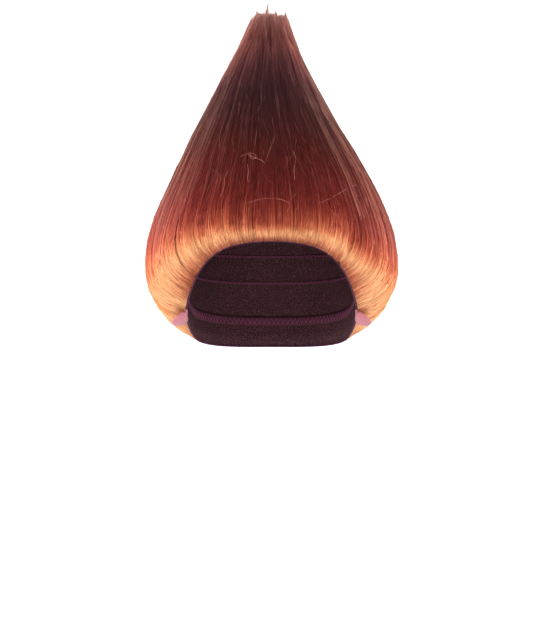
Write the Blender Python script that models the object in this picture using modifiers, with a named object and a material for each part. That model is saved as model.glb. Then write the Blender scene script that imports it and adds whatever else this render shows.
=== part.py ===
"""An upright, pointed costume wig: a cloth cap with a bound edge and two ear tabs, and hair swept up from it.

Metres, +Z up. The face side looks along -Y, and the origin is on the cap's inner face, at the top of the head.
The cap and the hair go round Z with an oval plan, so each follows a table of sections and the rim's table.
"""

import math
from collections import namedtuple

import bmesh
import bpy
from mathutils import Matrix, Vector

# The head hollow, which is the inner face of the cap
HEAD_WIDTH = 0.154
HEAD_FRONT = 0.094
HEAD_BACK = 0.100
HEAD_DROP = 0.090
CROWN_POWER = 2.2
PLAN_POWER = 2.3
SIDE_TUCK = 0.02
NAPE_TUCK = 0.15

# Cloth pieces
CAP_WALL = 0.0015
NAPE_DROP = 0.150
BINDING_RADIUS = 0.0012
TAB_WALL = 0.0012
TAB_WIDTH = 0.020
TAB_LENGTH = 0.0145
TAB_ANGLE = 84.0
TAB_FLARE = 70.0
TAB_END_SHARE = 0.25
TAB_ROUNDNESS = 2.5

# How far the hair's full body stands out from the widest part of the head
SIDE_DEPTH = 0.038
FRONT_DEPTH = 0.024
BACK_DEPTH = 0.032

# Hair
HAIR_RISE = 0.155
HAIR_RIM_WALL = 0.0025
ROLL_HEIGHT = 0.045
ROLL_POWER = 0.57
LOCK_RELIEF = 0.0030
CROWN_DROP = 0.012
TUFT_RISE = 0.029
CORE_RISE = HAIR_RISE - TUFT_RISE
CORE_FLARE = 0.028
CORE_PEAK = 0.004
EDGE_STAND = 0.010
TOOTH_RISE = 0.013
SPIKE_RADIUS = 0.0042
SPIKE_TIP_RADIUS = 0.0004
SPIKE_SEAT = 0.005
SPIKE_TWIST = 11.0

# Clearances between pieces
SEAT_GAP = 0.0003
HAIR_GAP = 0.0005

# Mesh fineness
LOCKS = 24
COLUMNS_PER_LOCK = 3
COLUMNS = LOCKS * COLUMNS_PER_LOCK
CROWN_ROWS = 4
SIDE_ROWS = 7
CORE_ROWS = 7
TOP_ROWS = 2
OUTER_ROWS = 17
SIDE_SPREAD = 1.15
CORE_SPREAD = 1.3
OUTER_SPREAD = 1.35
SMALL_SHARE = 0.01
MERGE = 1e-6

RimRow = namedtuple("RimRow", "degrees drop roll")
Section = namedtuple("Section", "level girth core")
Spike = namedtuple("Spike", "degrees out rise lean")

# The rim at degrees from the middle of the forehead: its depth below the crown, as a share of NAPE_DROP,
# and the height over which the hair rolls out from it to the full body, as a share of ROLL_HEIGHT
RIM = (
    RimRow(0, 0.380, 1.00),
    RimRow(12, 0.388, 0.99),
    RimRow(24, 0.412, 0.95),
    RimRow(34, 0.460, 0.89),
    RimRow(46, 0.557, 0.80),
    RimRow(56, 0.648, 0.73),
    RimRow(67, 0.727, 0.66),
    RimRow(78, 0.780, 0.61),
    RimRow(90, 0.820, 0.58),
    RimRow(102, 0.882, 0.56),
    RimRow(116, 0.950, 0.60),
    RimRow(134, 0.983, 0.68),
    RimRow(155, 0.998, 0.78),
    RimRow(180, 1.000, 0.84),
)

# The hair's sections from the nape's level, 0, to the tip's, 1. Girth is a share of the widest section,
# and core is the share of that girth that the crown's own hair fills.
SECTIONS = (
    Section(0.000, 0.860, 0.62),
    Section(0.064, 0.930, 0.62),
    Section(0.111, 0.955, 0.62),
    Section(0.159, 0.968, 0.62),
    Section(0.207, 1.000, 0.62),
    Section(0.254, 1.000, 0.62),
    Section(0.302, 0.988, 0.62),
    Section(0.373, 0.940, 0.62),
    Section(0.444, 0.854, 0.62),
    Section(0.515, 0.763, 0.62),
    Section(0.587, 0.661, 0.63),
    Section(0.658, 0.547, 0.65),
    Section(0.729, 0.444, 0.68),
    Section(0.776, 0.377, 0.71),
    Section(0.824, 0.303, 0.75),
    Section(0.883, 0.236, 0.79),
    Section(0.943, 0.181, 0.82),
    Section(1.000, 0.140, 0.84),
)

# The tufts of the crown's hair: where each stands, out as a share of the core's radius there,
# how much of the way from the core's top to the full rise it reaches, and its outward lean
SPIKES = (
    Spike(20, 0.05, 1.00, 1),
    Spike(38, 0.54, 0.72, 5),
    Spike(93, 0.52, 0.88, 6),
    Spike(152, 0.52, 0.66, 4),
    Spike(212, 0.54, 0.80, 6),
    Spike(273, 0.52, 0.84, 7),
    Spike(327, 0.52, 0.92, 4),
)


def interpolate(rows, column, at):
    """The column's value at a place along the rows' first column, on a smooth curve through the rows."""
    places = [row[0] for row in rows]
    values = [getattr(row, column) for row in rows]
    slopes = [
        (values[k + 1] - values[k]) / (places[k + 1] - places[k])
        for k in range(len(rows) - 1)
    ]
    tangents = [0.0] + [
        0.5 * (a + b) if a * b > 0 else 0.0 for a, b in zip(slopes, slopes[1:])
    ] + [0.0]
    at = min(max(at, places[0]), places[-1])
    k = max(n for n in range(len(rows) - 1) if places[n] <= at)
    span = places[k + 1] - places[k]
    t = (at - places[k]) / span
    rise = values[k + 1] - values[k]
    start, end = tangents[k] * span, tangents[k + 1] * span
    return (
        values[k]
        + t * start
        + t * t * (3 * rise - 2 * start - end)
        + t**3 * (start + end - 2 * rise)
    )


def column_angle(column):
    """The angle of a mesh column about Z, from 0 at the middle of the forehead towards +X."""
    return 2 * math.pi * (column % COLUMNS) / COLUMNS


def at_polar(angle, radius, height):
    return Vector((radius * math.sin(angle), -radius * math.cos(angle), height))


def plan_radius(angle, half_width, front, back, power):
    """The radius of an oval that reaches half_width to the sides, front to -Y and back to +Y."""
    along = front if math.cos(angle) > 0 else back
    across = abs(math.sin(angle)) / half_width
    return (across**power + (abs(math.cos(angle)) / along) ** power) ** (-1 / power)


def rim_share(angle, column):
    """A column of the rim's table at this angle, the same on both sides."""
    return interpolate(RIM, column, abs(math.degrees(math.remainder(angle, 2 * math.pi))))


def rim_drop(angle):
    """How far the cap's edge lies below the crown at this angle."""
    return NAPE_DROP * rim_share(angle, "drop")


def head_radius(angle, drop):
    """The radius of the cap's inner face, this far below the crown."""
    above = max(0.0, 1 - drop / HEAD_DROP)
    share = (1 - above**CROWN_POWER) ** (1 / CROWN_POWER)
    below = max(0.0, drop - HEAD_DROP) / (NAPE_DROP - HEAD_DROP)
    backness = (0.5 - 0.5 * math.cos(angle)) ** 2
    share *= 1 - (SIDE_TUCK + (NAPE_TUCK - SIDE_TUCK) * backness) * below**2
    sides = (HEAD_WIDTH / 2 * share, HEAD_FRONT * share, HEAD_BACK * share)
    return plan_radius(angle, *sides, PLAN_POWER)


def head_normal(angle, drop):
    """The radial and upward parts of the outward normal on the head hollow."""
    if drop <= 0:
        return 0.0, 1.0
    step = min(drop, SMALL_SHARE * HEAD_DROP) / 2
    slope = (head_radius(angle, drop + step) - head_radius(angle, drop - step)) / (2 * step)
    length = math.hypot(1, slope)
    return 1 / length, slope / length


def head_point(angle, drop, offset):
    """A point this far outside the head hollow, and its radius and height."""
    out, up = head_normal(angle, drop)
    radius = (head_radius(angle, drop) if drop > 0 else 0.0) + offset * out
    return radius, -drop + offset * up


def crown_drops():
    """The drops of the cap's crown rows, which are level rings about evenly far apart."""
    return [CROWN_DROP * (k / CROWN_ROWS) ** 2 for k in range(CROWN_ROWS + 1)]


def side_drops(angle):
    """The drops of the cap's side rows at this angle, from below the crown to the rim."""
    reach = rim_drop(angle) - CROWN_DROP
    return [CROWN_DROP + reach * ((k + 1) / SIDE_ROWS) ** SIDE_SPREAD for k in range(SIDE_ROWS)]


def section_at(height, column):
    return interpolate(SECTIONS, column, (height + NAPE_DROP) / (NAPE_DROP + HAIR_RISE))


def body_radius(angle, height):
    """The radius of the hair's full body, before its rim rolls in and its locks are cut."""
    reaches = (HEAD_WIDTH / 2 + SIDE_DEPTH, HEAD_FRONT + FRONT_DEPTH, HEAD_BACK + BACK_DEPTH)
    return section_at(height, "girth") * plan_radius(angle, *reaches, 2)


def outer_radius(angle, height):
    """The hair's outer radius: it leaves the cap's edge thin, rolls out to the body and is cut into locks."""
    drop = rim_drop(angle)
    start = head_point(angle, drop, CAP_WALL + SEAT_GAP + HAIR_RIM_WALL)[0]
    share = min(1.0, max(0.0, height + drop) / (ROLL_HEIGHT * rim_share(angle, "roll")))
    roll = math.sin(math.pi / 2 * share) ** ROLL_POWER
    groove = 0.5 + 0.5 * math.cos(LOCKS * angle)
    relief = LOCK_RELIEF * groove * roll * section_at(height, "girth")
    return start + (body_radius(angle, height) - start) * roll - relief


def core_base(angle):
    """The radius and height of the crown hair's lower edge, seated on the cap."""
    return head_point(angle, CROWN_DROP, CAP_WALL + SEAT_GAP)


def core_radius(angle, height):
    """The outer radius of the crown's hair, which flares from its seat into a share of the body."""
    seat_radius, seat_height = core_base(angle)
    share = min(1.0, max(0.0, height - seat_height) / CORE_FLARE)
    flare = math.sin(math.pi / 2 * share)
    full = section_at(height, "core") * body_radius(angle, height)
    return seat_radius + (full - seat_radius) * flare


def core_heights(angle):
    """The heights of the crown hair's side rows, closest together where it flares."""
    base = core_base(angle)[1]
    return [base + (CORE_RISE - base) * (k / CORE_ROWS) ** CORE_SPREAD for k in range(CORE_ROWS + 1)]


def top_edge(column):
    """The height of the swept hair's upper edge, cut into one blunt tooth for every two locks."""
    half = COLUMNS_PER_LOCK
    away = abs((column + half / 2) % (2 * half) - half)
    return CORE_RISE + EDGE_STAND + TOOTH_RISE * (1 - away / half)


def new_object(name, bm, collection):
    mesh = bpy.data.meshes.new(name)
    bm.to_mesh(mesh)
    bm.free()
    obj = bpy.data.objects.new(name, mesh)
    collection.objects.link(obj)
    return obj


def wrapped_grid(columns, rows, place):
    """A grid primitive bent by place(column, row), with the edges and poles that meet welded."""
    bm = bmesh.new()
    bmesh.ops.create_grid(bm, x_segments=columns, y_segments=rows, size=0.5)
    for vert in bm.verts:
        column = round((vert.co.x + 0.5) * columns)
        row = round((vert.co.y + 0.5) * rows)
        vert.co = place(column, row)
    bmesh.ops.remove_doubles(bm, verts=bm.verts, dist=MERGE)
    bmesh.ops.recalc_face_normals(bm, faces=bm.faces)
    return bm


def smooth(obj, degrees=50):
    obj.data.shade_smooth()
    obj.data.set_sharp_from_angle(angle=math.radians(degrees))


def material(name, color, roughness):
    made = bpy.data.materials.new(name)
    made.use_nodes = True
    shader = made.node_tree.nodes["Principled BSDF"]
    shader.inputs["Base Color"].default_value = (*color, 1)
    shader.inputs["Roughness"].default_value = roughness
    shader.inputs["Metallic"].default_value = 0.0
    return made


def thicken(obj, wall, offset):
    solidify = obj.modifiers.new("wall", "SOLIDIFY")
    solidify.thickness = wall
    solidify.offset = offset
    solidify.use_even_offset = True


def build_cap(collection):
    """The cloth cap that the hair is sewn to: an open dome with its wall outside the head hollow."""

    def place(column, row):
        angle = column_angle(column)
        drops = crown_drops() + side_drops(angle)
        return at_polar(angle, *head_point(angle, drops[row], 0.0))

    bm = wrapped_grid(COLUMNS, CROWN_ROWS + SIDE_ROWS, place)
    if sum(face.normal.z for face in bm.faces) < 0:
        bmesh.ops.reverse_faces(bm, faces=bm.faces)
    cap = new_object("cap", bm, collection)
    thicken(cap, CAP_WALL, 1)
    smooth(cap)
    return cap


def rim_frame(angle):
    """The middle of the cap's cut edge, and the way on down from it in the plane of the cloth."""
    step = 0.01

    def edge(at):
        return at_polar(at, *head_point(at, rim_drop(at), CAP_WALL / 2))

    along = (edge(angle + step) - edge(angle - step)).normalized()
    out, up = head_normal(angle, rim_drop(angle))
    down = along.cross(at_polar(angle, out, up)).normalized()
    return edge(angle), down if down.z < 0 else -down


def build_binding(collection):
    """The rolled elastic binding, one closed loop just below the cap's cut edge."""
    curve = bpy.data.curves.new("edge_binding", "CURVE")
    curve.dimensions = "3D"
    curve.bevel_depth = BINDING_RADIUS
    curve.bevel_resolution = 1
    spline = curve.splines.new("POLY")
    spline.points.add(COLUMNS - 1)
    for column, point in enumerate(spline.points):
        edge, down = rim_frame(column_angle(column))
        point.co = (*(edge + down * (BINDING_RADIUS + SEAT_GAP)), 1)
    spline.use_cyclic_u = True
    binding = bpy.data.objects.new("edge_binding", curve)
    collection.objects.link(binding)
    return binding


def build_ear_tab(name, side, collection):
    """A rounded cloth tab under the binding, flared out over one ear. side is 1 for +X and -1 for -X."""
    columns, rows = 10, 4
    half_turn = TAB_WIDTH / HEAD_WIDTH
    top = 2 * BINDING_RADIUS + 2 * SEAT_GAP + TAB_WALL / 2

    def place(column, row):
        across = 2 * column / columns - 1
        angle = side * (math.radians(TAB_ANGLE) + half_turn * across)
        edge, down = rim_frame(angle)
        out = at_polar(angle, *head_normal(angle, rim_drop(angle)))
        bulge = math.sqrt(1 - abs(across) ** TAB_ROUNDNESS)
        length = TAB_LENGTH * (TAB_END_SHARE + (1 - TAB_END_SHARE) * bulge)
        flare = math.radians(TAB_FLARE) * row / rows
        fall = math.cos(flare) * down + math.sin(flare) * out
        return edge + down * top + fall * (length * row / rows)

    tab = new_object(name, wrapped_grid(columns, rows, place), collection)
    thicken(tab, TAB_WALL, 0)
    smooth(tab)
    return tab


def swept_profile(column):
    """The swept hair's closed outline at one column: up its outside, over its top edge and down its inside."""
    angle = column_angle(column)
    drop, top = rim_drop(angle), top_edge(column)
    shares = [(k / OUTER_ROWS) ** OUTER_SPREAD for k in range(OUTER_ROWS + 1)]
    heights = [-drop + (top + drop) * share for share in shares]
    outline = [(outer_radius(angle, height), height) for height in heights]
    for k in range(TOP_ROWS, 0, -1):
        height = CORE_RISE + (top - CORE_RISE) * k / TOP_ROWS
        outline.append((core_radius(angle, height) + HAIR_GAP, height))
    for height in reversed(core_heights(angle)[1:]):
        outline.append((core_radius(angle, height) + HAIR_GAP, height))
    shoulder = CROWN_DROP + HAIR_GAP
    outline.append(head_point(angle, shoulder, CAP_WALL + SEAT_GAP))
    for side in side_drops(angle):
        outline.append(head_point(angle, side, CAP_WALL + SEAT_GAP))
    return outline


def build_swept_hair(collection):
    """The hair sewn to the cap's edge and sides, swept up round the crown's hair to a toothed upper edge."""
    outlines = [swept_profile(column) for column in range(COLUMNS)]
    rows = len(outlines[0])

    def place(column, row):
        return at_polar(column_angle(column), *outlines[column % COLUMNS][row % rows])

    hair = new_object("swept_hair", wrapped_grid(COLUMNS, rows, place), collection)
    smooth(hair, 60)
    return hair


def build_crown_hair(collection, helpers):
    """The hair sewn to the cap's crown: a plume that fills the swept hair and ends in separate tufts."""

    def profile(column):
        angle = column_angle(column)
        seat = [head_point(angle, drop, CAP_WALL + SEAT_GAP) for drop in crown_drops()]
        side = [(core_radius(angle, height), height) for height in core_heights(angle)[1:]]
        return seat + side + [(0.0, CORE_RISE + CORE_PEAK)]

    outlines = [profile(column) for column in range(COLUMNS)]

    def place(column, row):
        return at_polar(column_angle(column), *outlines[column % COLUMNS][row])

    bm = wrapped_grid(COLUMNS, len(outlines[0]) - 1, place)
    hair = new_object("crown_hair", bm, collection)
    for number, spike in enumerate(SPIKES):
        tuft = build_tuft(f"tuft_{number}", spike, helpers)
        union = hair.modifiers.new(f"tuft_{number}", "BOOLEAN")
        union.operation = "UNION"
        union.object = tuft
    smooth(hair, 60)
    return hair


def build_tuft(name, spike, helpers):
    """A pointed tuft that stands in the crown hair's top, as a helper to be joined to it."""
    base = CORE_RISE - SPIKE_SEAT
    height = SPIKE_SEAT + TUFT_RISE * spike.rise
    angle = math.radians(spike.degrees)
    bm = bmesh.new()
    bmesh.ops.create_cone(
        bm,
        cap_ends=True,
        segments=8,
        radius1=SPIKE_RADIUS,
        radius2=SPIKE_TIP_RADIUS,
        depth=height,
    )
    bmesh.ops.translate(bm, verts=bm.verts, vec=(0, 0, height / 2))
    twist = Matrix.Rotation(math.radians(SPIKE_TWIST), 3, "Z")
    bmesh.ops.rotate(bm, verts=bm.verts, cent=(0, 0, 0), matrix=twist)
    tuft = new_object(name, bm, helpers)
    tuft.location = at_polar(angle, spike.out * core_radius(angle, base), base)
    tuft.rotation_euler = (math.radians(spike.lean), 0, angle)
    tuft.hide_render = True
    tuft.display_type = "WIRE"
    return tuft


def main():
    for obj in list(bpy.data.objects):
        bpy.data.objects.remove(obj)
    wig = bpy.data.collections.new("pointed_wig")
    helpers = bpy.data.collections.new("pointed_wig_helpers")
    for made in (wig, helpers):
        bpy.context.scene.collection.children.link(made)

    net = material("cap_net", (0.16, 0.07, 0.11), 0.85)
    elastic = material("binding_elastic", (0.13, 0.03, 0.10), 0.6)
    lining = material("tab_cloth", (0.62, 0.30, 0.36), 0.75)
    swept = material("swept_fibre", (0.38, 0.13, 0.08), 0.4)
    crown = material("crown_fibre", (0.20, 0.06, 0.06), 0.4)

    build_cap(wig).data.materials.append(net)
    build_binding(wig).data.materials.append(elastic)
    build_ear_tab("ear_tab_left", 1, wig).data.materials.append(lining)
    build_ear_tab("ear_tab_right", -1, wig).data.materials.append(lining)
    build_swept_hair(wig).data.materials.append(swept)
    build_crown_hair(wig, helpers).data.materials.append(crown)


main()
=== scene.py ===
"""The looks of the pointed costume wig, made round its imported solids. In metres, +Z up, the face along -Y."""

import math

import bmesh
import bpy
import numpy as np
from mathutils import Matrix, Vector
from mathutils.bvhtree import BVHTree


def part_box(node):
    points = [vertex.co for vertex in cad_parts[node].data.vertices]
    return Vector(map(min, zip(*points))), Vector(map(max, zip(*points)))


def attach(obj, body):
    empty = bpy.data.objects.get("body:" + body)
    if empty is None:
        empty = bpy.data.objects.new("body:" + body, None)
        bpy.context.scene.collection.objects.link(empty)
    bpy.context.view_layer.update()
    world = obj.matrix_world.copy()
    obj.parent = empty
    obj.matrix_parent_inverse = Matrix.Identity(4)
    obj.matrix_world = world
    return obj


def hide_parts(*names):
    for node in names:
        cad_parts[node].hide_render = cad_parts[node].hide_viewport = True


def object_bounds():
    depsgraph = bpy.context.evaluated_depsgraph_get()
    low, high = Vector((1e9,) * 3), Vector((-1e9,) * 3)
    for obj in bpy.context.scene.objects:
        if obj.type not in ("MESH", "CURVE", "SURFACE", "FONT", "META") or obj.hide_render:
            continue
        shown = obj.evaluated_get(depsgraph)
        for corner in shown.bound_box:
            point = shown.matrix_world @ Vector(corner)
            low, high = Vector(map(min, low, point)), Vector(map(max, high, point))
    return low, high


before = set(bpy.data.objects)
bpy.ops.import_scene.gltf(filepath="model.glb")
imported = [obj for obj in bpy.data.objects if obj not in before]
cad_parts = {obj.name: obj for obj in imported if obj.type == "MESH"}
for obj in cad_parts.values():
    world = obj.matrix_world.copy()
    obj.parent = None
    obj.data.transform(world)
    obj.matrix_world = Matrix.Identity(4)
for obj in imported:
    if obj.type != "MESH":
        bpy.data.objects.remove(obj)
cad_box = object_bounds()


# The form of the hair
# The real hair is synthetic fibre sewn to the cap in rows and set upright with heat, so it keeps its form.
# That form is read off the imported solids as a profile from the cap's edge to the tip at each of many turns.
COLUMNS = 144
PROFILE_ROWS = 128
TURN = 2 * math.pi / COLUMNS
RIM_BIN = math.radians(5)
TOOTH_ROOT_FALL = 0.0215
FORM_TOP_FALL = 0.005
TOP_NARROWING = 0.66


def surface_tree(*names):
    """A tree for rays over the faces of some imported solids."""
    points, faces = [], []
    for name in names:
        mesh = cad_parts[name].data
        faces += [[len(points) + corner for corner in face.vertices] for face in mesh.polygons]
        points += [vertex.co.copy() for vertex in mesh.vertices]
    return BVHTree.FromPolygons(points, faces)


def lowest_ring(name):
    """The turn, radius and height of a solid's lowest point in each slice about Z, in order of turn."""
    coords = np.array([vertex.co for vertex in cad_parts[name].data.vertices])
    turns = np.arctan2(coords[:, 0], -coords[:, 1]) % (2 * math.pi)
    slices = np.round(turns / RIM_BIN).astype(int) % round(2 * math.pi / RIM_BIN)
    picked = []
    for part in np.unique(slices):
        own = np.flatnonzero(slices == part)
        best = own[np.argmin(coords[own, 2])]
        picked.append((turns[best], math.hypot(*coords[best, :2]), coords[best, 2]))
    return np.array(sorted(picked))


def ring_value(ring, column, turns):
    """One column of a ring at any turns, the whole way round."""
    return np.interp(turns, ring[:, 0], ring[:, column], period=2 * math.pi)


def radius_from_outside(tree, turn, height):
    """Where a level ray from outside towards the Z axis first meets a surface."""
    out = Vector((math.sin(turn), -math.cos(turn), 0))
    hit = tree.ray_cast(out + Vector((0, 0, height)), -out)[0]
    return math.hypot(hit.x, hit.y)


def soften_round(values, reach):
    """Averages a table over neighbouring turns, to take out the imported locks."""
    return sum(np.roll(values, shift, axis=0) for shift in range(-reach, reach + 1)) / (2 * reach + 1)


hair_tree = surface_tree("swept_hair", "crown_hair")
hair_rim = lowest_ring("swept_hair")
tip_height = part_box("crown_hair")[1].z
edge_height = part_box("swept_hair")[1].z - TOOTH_ROOT_FALL + 0.009
column_turns = np.arange(COLUMNS) * TURN

form_radius = np.empty((COLUMNS, PROFILE_ROWS))
form_height = np.empty((COLUMNS, PROFILE_ROWS))
for column, turn in enumerate(column_turns):
    bottom = ring_value(hair_rim, 2, turn)
    shares = np.linspace(0, 1, PROFILE_ROWS - 8) ** 1.7
    heights = bottom + 0.0003 + (edge_height - bottom) * shares
    radii = [radius_from_outside(hair_tree, turn, height) for height in heights]
    steps = np.linspace(0, 1, 9)[1:]
    top = tip_height - FORM_TOP_FALL
    form_radius[column] = np.append(radii, radii[-1] * (1 - (1 - TOP_NARROWING) * steps))
    form_height[column] = np.append(heights, edge_height + (top - edge_height) * steps)
form_radius = soften_round(form_radius, 3)

for column in range(COLUMNS):
    radii, heights = form_radius[column].copy(), form_height[column].copy()
    walked = np.append(0, np.cumsum(np.hypot(np.diff(radii), np.diff(heights))))
    even = np.linspace(0, walked[-1], PROFILE_ROWS)
    form_radius[column] = np.interp(even, walked, radii)
    form_height[column] = np.interp(even, walked, heights)
belly_radius = form_radius.max()


def read_table(table, turns, rises):
    """A table of the form at any turns and rises, between its columns and rows."""
    across = (turns / TURN) % COLUMNS
    up = np.clip(rises, 0, 1) * (table.shape[1] - 1)
    a, b = np.floor(across).astype(int), np.floor(up).astype(int)
    b = np.minimum(b, table.shape[1] - 2)
    s, t = across - a, up - b
    a, c = a % COLUMNS, (a + 1) % COLUMNS
    low = table[a, b] * (1 - s) + table[c, b] * s
    high = table[a, b + 1] * (1 - s) + table[c, b + 1] * s
    return low * (1 - t) + high * t


def on_form(turns, rises, lifts):
    """Points on the hair's form: turns from the forehead, rises from 0 at the cap's edge to 1 at the tip."""
    step = 1.5 / PROFILE_ROWS
    radius, height = read_table(form_radius, turns, rises), read_table(form_height, turns, rises)
    ahead = read_table(form_radius, turns, rises + step) - read_table(form_radius, turns, rises - step)
    climb = read_table(form_height, turns, rises + step) - read_table(form_height, turns, rises - step)
    length = np.hypot(ahead, climb)
    radius = radius + lifts * climb / length
    height = height - lifts * ahead / length
    return np.stack([radius * np.sin(turns), -radius * np.cos(turns), height], axis=-1)


# How far the hair leans to one side, as it stands in use: height and shift in metres.
LEAN = (
    (0.000, 0.0000),
    (0.029, -0.0022),
    (0.051, -0.0036),
    (0.072, -0.0046),
    (0.087, -0.0049),
    (0.108, -0.0034),
    (0.130, -0.0028),
    (0.150, -0.0024),
)


def smooth_step(values):
    values = np.clip(values, 0, 1)
    return values * values * (3 - 2 * values)


def lean(points):
    """Leans the upper hair a little to one side."""
    shift = np.interp(points[..., 2], [row[0] for row in LEAN], [row[1] for row in LEAN])
    return points + shift[..., None] * (1, 0, 0)


# The dye
# The fibres are dyed copper at their roots and run through red and mahogany to dark plum, with browner ends.
# The ramp also paints shade on the very roots by the binding and light on the thin tips.
# The copper's end changes height with the turn. dye_place is 0 at the root, 0.3 there and 1 at the tip.
DYE_CHANGE = 0.30
# Past the temples the roots begin at this place, beyond the painted root shade, which fades out over these
# turns.
UNSHADED_ROOT_PLACE = 0.11
ROOT_SHADE_FADE_FROM = 52
ROOT_SHADE_FADE_OVER = 20
DYE_LINE = (
    # turn in degrees, height in metres
    (-150, -0.056),
    (-120, -0.058),
    (-98, -0.062),
    (-84, -0.068),
    (-70, -0.066),
    (-57, -0.061),
    (-40, -0.050),
    (-20, -0.046),
    (0, -0.047),
    (20, -0.046),
    (33, -0.050),
    (44, -0.065),
    (51, -0.072),
    (65, -0.078),
    (86, -0.080),
    (100, -0.076),
    (120, -0.064),
    (180, -0.056),
)
dye_turns = np.radians([row[0] for row in DYE_LINE])
dye_heights = np.interp(column_turns, dye_turns, [row[1] for row in DYE_LINE], period=2 * math.pi)
dye_rises = np.array(
    [
        np.interp(dye_heights[column], form_height[column], np.linspace(0, 1, PROFILE_ROWS))
        for column in range(COLUMNS)
    ]
)


def dye_place(turns, rises):
    """Where along the dye a point of the form lies. In front the roots begin on the dye's painted root shade;
    past the temples they begin paler, without it.
    """
    change = np.interp(turns, column_turns, dye_rises, period=2 * math.pi)
    line = np.interp(turns, column_turns, dye_heights, period=2 * math.pi)
    heights = read_table(form_height, turns, rises)
    away = np.abs(np.degrees(np.angle(np.exp(1j * turns))))
    # Painted root shade only in front: past the temples the roots start beyond it.
    start = UNSHADED_ROOT_PLACE * smooth_step((away - ROOT_SHADE_FADE_FROM) / ROOT_SHADE_FADE_OVER)
    root = start + (DYE_CHANGE - start) * rises / change
    length = DYE_CHANGE + (1 - DYE_CHANGE) * (heights - line) / (tip_height - line)
    return np.where(rises < change, root, length)


def linear(code):
    """A colour written as six hex digits, in the light that shaders work in."""
    parts = [int(code[k : k + 2], 16) / 255 for k in (0, 2, 4)]
    return [c / 12.92 if c <= 0.04045 else ((c + 0.055) / 1.055) ** 2.4 for c in parts]


FIBRE_DYE = (
    # place along the dye, colour
    # The first two, darker stops are painted shade on the roots beside the binding.
    (0.000, "A8523A"),
    (0.045, "CF7A54"),
    (0.110, "F2A878"),
    (0.150, "F8B682"),
    (0.190, "F6AE7A"),
    (0.245, "E48C60"),
    (0.300, "C05A3E"),
    (0.335, "9C3A2C"),
    (0.370, "842A24"),
    (0.440, "6C201D"),
    (0.530, "5A1B1A"),
    (0.620, "471A1B"),
    (0.720, "3F1E22"),
    (0.815, "562B2F"),
    (0.885, "854A47"),
    # The palest last stops are browner dye with painted light on them, as on thin ends lit through.
    (0.940, "B86D64"),
    (1.000, "E2AEA4"),
)


def add_node(tree, kind, **values):
    """A shader node with some of its settings and sockets set by name."""
    node = tree.nodes.new(kind)
    for name, value in values.items():
        if hasattr(node, name):
            setattr(node, name, value)
        else:
            node.inputs[name.replace("_", " ")].default_value = value
    return node


def dye_colour(tree, place):
    """The ramp of the dye, read at a place that another node gives."""
    ramp = add_node(tree, "ShaderNodeValToRGB")
    tree.links.new(place, ramp.inputs["Fac"])
    stops = ramp.color_ramp.elements
    while len(stops) < len(FIBRE_DYE):
        stops.new(0.5)
    for stop, (at, code) in zip(stops, FIBRE_DYE):
        stop.position = at
        stop.color = (*linear(code), 1)
    return ramp.outputs["Color"]


def new_material(name, roughness, **sockets):
    """A Principled material, with its node tree and shader."""
    made = bpy.data.materials.new(name)
    made.use_nodes = True
    shader = made.node_tree.nodes["Principled BSDF"]
    shader.inputs["Roughness"].default_value = roughness
    for socket, value in sockets.items():
        shader.inputs[socket.replace("_", " ")].default_value = value
    return made, made.node_tree, shader


def bump(tree, shader, height, strength, distance):
    node = add_node(tree, "ShaderNodeBump", Strength=strength, Distance=distance)
    tree.links.new(height, node.inputs["Height"])
    tree.links.new(node.outputs["Normal"], shader.inputs["Normal"])


# How much painted sheen a bright tone adds, and its colour
SHEEN_START = 0.62
SHEEN_MOST = 0.5
SHEEN_COLOUR = (0.50, 0.26, 0.19)
FIBRE_WHITEST = 0.96


def fibre_material():
    """Satin synthetic fibre. Its map holds each fibre's tone across and the dye's place along it. The tone
    scales the dye, and a high tone adds a pale warm colour: painted sheen and glints.
    """
    made, tree, shader = new_material("dyed_fibre_painted_sheen", 0.40, Specular_IOR_Level=0.16)
    shader.inputs["Specular Tint"].default_value = (1.0, 0.7, 0.6, 1)
    uv = add_node(tree, "ShaderNodeUVMap", uv_map="OFBake")
    axes = add_node(tree, "ShaderNodeSeparateXYZ")
    tree.links.new(uv.outputs["UV"], axes.inputs["Vector"])
    colour = dye_colour(tree, axes.outputs["Y"])
    tone = add_node(tree, "ShaderNodeMapRange", To_Min=0.45, To_Max=1.25)
    tree.links.new(axes.outputs["X"], tone.inputs["Value"])
    scale = add_node(tree, "ShaderNodeVectorMath", operation="SCALE")
    tree.links.new(colour, scale.inputs[0])
    tree.links.new(tone.outputs["Result"], scale.inputs["Scale"])
    # Painted sheen: tones above SHEEN_START add SHEEN_COLOUR to the dye.
    sheen = add_node(tree, "ShaderNodeMapRange", From_Min=SHEEN_START, To_Max=SHEEN_MOST)
    tree.links.new(axes.outputs["X"], sheen.inputs["Value"])
    lit = add_node(tree, "ShaderNodeVectorMath", operation="MULTIPLY_ADD")
    lit.inputs[0].default_value = SHEEN_COLOUR
    tree.links.new(sheen.outputs["Result"], lit.inputs[1])
    tree.links.new(scale.outputs["Vector"], lit.inputs[2])
    capped = add_node(tree, "ShaderNodeVectorMath", operation="MINIMUM")
    capped.inputs[1].default_value = (FIBRE_WHITEST, FIBRE_WHITEST, FIBRE_WHITEST)
    tree.links.new(lit.outputs["Vector"], capped.inputs[0])
    tree.links.new(capped.outputs["Vector"], shader.inputs["Base Color"])
    return made


dyed_fibre_painted_sheen = fibre_material()


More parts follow.
